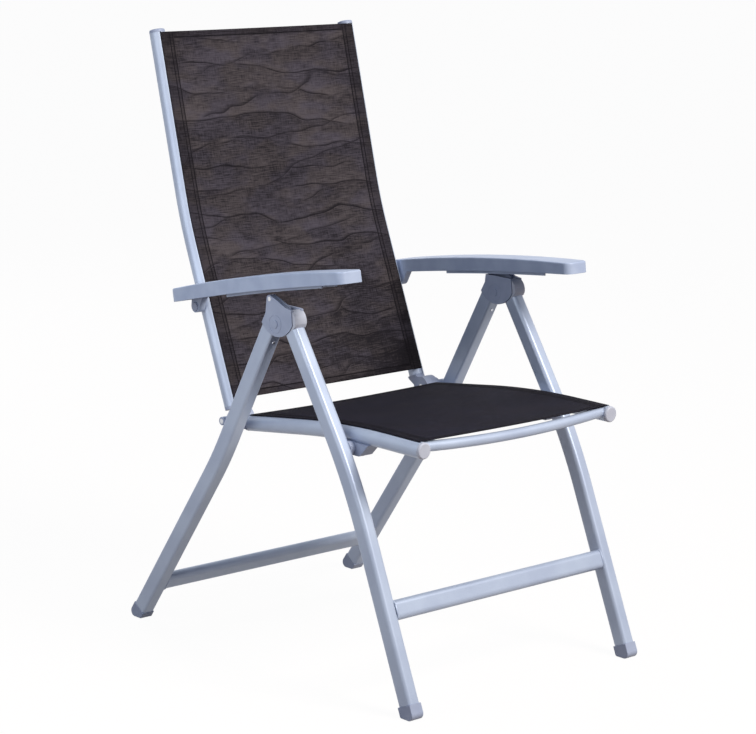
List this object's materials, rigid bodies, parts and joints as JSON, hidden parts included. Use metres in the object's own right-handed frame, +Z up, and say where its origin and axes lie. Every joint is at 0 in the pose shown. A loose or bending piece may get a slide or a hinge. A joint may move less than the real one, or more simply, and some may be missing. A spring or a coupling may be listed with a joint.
{
  "type": "reclining garden armchair",
  "caption": "High-back folding garden armchair with silver tube legs, stretched mesh seat and back, and plastic armrests that latch for reclining.",
  "frame": {"origin": "on the floor, at the middle of the chair's box", "axes": "+Z up, the front faces -Y, the sitter's left is +X"},
  "size_m": [0.58, 0.7808, 1.0748],
  "materials": {
    "silver_frame": "silver powder coat, satin, with a faint blue cast",
    "grey_plastic": "moulded light grey plastic, fine grain",
    "armrest_plastic": "moulded light grey plastic, satin",
    "back_mesh": "woven coated mesh, charcoal with streaks",
    "seat_mesh": "woven coated mesh, charcoal",
    "keder_plastic": "black extruded rod",
    "fixing_steel": "zinc-plated steel"
  },
  "bodies": {
    "front_frame": {"front_leg_left": "silver_frame", "front_leg_right": "silver_frame", "front_leg_cap_left": "grey_plastic", "front_leg_cap_right": "grey_plastic", "front_foot_left": "grey_plastic", "front_foot_right": "grey_plastic", "hinge_rivet_left": "fixing_steel", "hinge_rivet_right": "fixing_steel", "seat_pivot_bolt_left": "fixing_steel", "seat_pivot_bolt_right": "fixing_steel", "front_crossbar": "silver_frame"},
    "rear_frame": {"rear_leg_left": "silver_frame", "rear_leg_right": "silver_frame", "hinge_head_left": "grey_plastic", "hinge_head_right": "grey_plastic", "ratchet_pin_left": "fixing_steel", "ratchet_pin_right": "fixing_steel", "rear_foot_left": "grey_plastic", "rear_foot_right": "grey_plastic", "rear_crossbar": "silver_frame", "leg_pop_rivets": "fixing_steel"},
    "seat": {"seat_tube_left": "silver_frame", "seat_tube_right": "silver_frame", "seat_front_cap_left": "grey_plastic", "seat_front_cap_right": "grey_plastic", "seat_bracket_left": "grey_plastic", "seat_bracket_right": "grey_plastic", "seat_rear_fitting_left": "grey_plastic", "seat_rear_fitting_right": "grey_plastic", "seat_front_bar": "silver_frame", "seat_sling": "seat_mesh", "seat_sling_rods": "keder_plastic", "bracket_screws": "fixing_steel"},
    "back_carrier": {"tie_pin_left": "fixing_steel", "tie_pin_right": "fixing_steel", "tie_barrel_left": "grey_plastic", "tie_barrel_right": "grey_plastic", "tie_roller_left": "grey_plastic", "tie_roller_right": "grey_plastic"},
    "back": {"back_tube_left": "silver_frame", "back_tube_right": "silver_frame", "back_top_cap_left": "grey_plastic", "back_top_cap_right": "grey_plastic", "back_foot_fitting_left": "grey_plastic", "back_foot_fitting_right": "grey_plastic", "back_low_bar": "silver_frame", "back_high_bar": "silver_frame", "back_sling": "back_mesh", "back_sling_rods": "keder_plastic"},
    "arm_bolt_left": {"armrest_bolt_left": "fixing_steel"},
    "arm_bush_left": {"armrest_bush_left": "grey_plastic"},
    "armrest_left": {"armrest_left": "armrest_plastic", "armrest_rack_left": "armrest_plastic"},
    "arm_bolt_right": {"armrest_bolt_right": "fixing_steel"},
    "arm_bush_right": {"armrest_bush_right": "grey_plastic"},
    "armrest_right": {"armrest_right": "armrest_plastic", "armrest_rack_right": "armrest_plastic"}
  },
  "joints": [
    {"name": "seat_fold", "type": "hinge", "parent": "front_frame", "child": "seat", "pos_m": [0, -0.18866, 0.418], "axis": [-1, 0, 0], "range_deg": [0, 96]},
    {"name": "leg_fold", "type": "hinge", "parent": "front_frame", "child": "rear_frame", "pos_m": [0, -0.03366, 0.607], "axis": [-1, 0, 0], "range_deg": [0, 58.3]},
    {"name": "back_fold", "type": "hinge", "parent": "seat", "child": "back_carrier", "pos_m": [0, 0.11434, 0.412], "axis": [-1, 0, 0], "range_deg": [-88.2, 0]},
    {"name": "back_recline", "type": "hinge", "parent": "back_carrier", "child": "back", "pos_m": [0, 0.11434, 0.412], "axis": [-1, 0, 0], "range_deg": [-5, 32]},
    {"name": "arm_bolt_turn_left", "type": "hinge", "parent": "back", "child": "arm_bolt_left", "pos_m": [0, 0.21124, 0.599], "axis": [-1, 0, 0], "range_deg": [-19.3, 3.1]},
    {"name": "arm_bush_turn_left", "type": "hinge", "parent": "arm_bolt_left", "child": "arm_bush_left", "pos_m": [0, 0.21124, 0.599], "axis": [-1, 0, 0], "range_deg": [0, 108.3]},
    {"name": "armrest_left_lift", "type": "hinge", "parent": "arm_bush_left", "child": "armrest_left", "pos_m": [0, 0.21124, 0.599], "axis": [-1, 0, 0], "range_deg": [-1.7, 62]},
    {"name": "arm_bolt_turn_right", "type": "hinge", "parent": "back", "child": "arm_bolt_right", "pos_m": [0, 0.21124, 0.599], "axis": [-1, 0, 0], "range_deg": [-19.3, 3.1]},
    {"name": "arm_bush_turn_right", "type": "hinge", "parent": "arm_bolt_right", "child": "arm_bush_right", "pos_m": [0, 0.21124, 0.599], "axis": [-1, 0, 0], "range_deg": [0, 108.3]},
    {"name": "armrest_right_lift", "type": "hinge", "parent": "arm_bush_right", "child": "armrest_right", "pos_m": [0, 0.21124, 0.599], "axis": [-1, 0, 0], "range_deg": [-6.4, 57.3]}
  ],
  "couplings": [
    {"joint": "leg_fold", "follows": "seat_fold", "ratio": 0.606},
    {"joint": "back_fold", "follows": "seat_fold", "ratio": -0.917},
    {"joint": "arm_bolt_turn_left", "follows": "back_recline", "ratio": -0.6},
    {"joint": "arm_bush_turn_left", "follows": "seat_fold", "ratio": 1.127},
    {"joint": "arm_bolt_turn_right", "follows": "back_recline", "ratio": -0.6},
    {"joint": "arm_bush_turn_right", "follows": "seat_fold", "ratio": 1.127}
  ]
}
